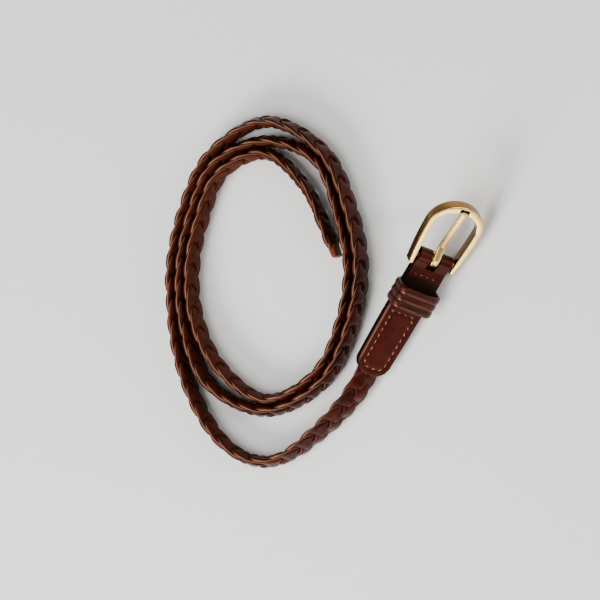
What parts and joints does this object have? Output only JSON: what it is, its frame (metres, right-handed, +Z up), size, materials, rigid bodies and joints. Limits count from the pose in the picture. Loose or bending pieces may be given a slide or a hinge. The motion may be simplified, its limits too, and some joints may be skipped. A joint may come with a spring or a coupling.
{
  "type": "braided belt",
  "caption": "Slim braided leather belt lying coiled on its edge, with a stitched leather tab, ribbed keeper loop and horseshoe pin buckle.",
  "frame": {"origin": "middle of the whole belt's plan, on the surface that it lies on", "axes": "+Z up from that surface; +Y from the run-out towards the far side of the coil; +X towards the buckle"},
  "size_m": [0.1596, 0.154, 0.026],
  "materials": {
    "braided_leather": "glossy red-brown laces with lighter cut edges",
    "tip_leather": "satin tan",
    "tab_leather": "glossy red-brown",
    "keeper_leather": "glossy red-brown",
    "pale_gold": "polished pale gold plating",
    "prong_gold": "polished pale gold plating"
  },
  "bodies": {
    "strap": {"braid": "braided_leather", "tail_tip": "tip_leather", "buckle_tab": "tab_leather", "keeper": "keeper_leather"},
    "frame": {"buckle_frame": "pale_gold"},
    "prong": {"prong": "prong_gold"}
  },
  "joints": [
    {"name": "frame_swing", "type": "hinge", "parent": "strap", "child": "frame", "pos_m": [0.05616, 0.01454, 0.01085], "axis": [0.5383, -0.2782, -0.7955], "range_deg": [-90, 20]},
    {"name": "prong_lift", "type": "hinge", "parent": "frame", "child": "prong", "pos_m": [0.05616, 0.01454, 0.01085], "axis": [0.5383, -0.2782, -0.7955], "range_deg": [0, 75]}
  ]
}
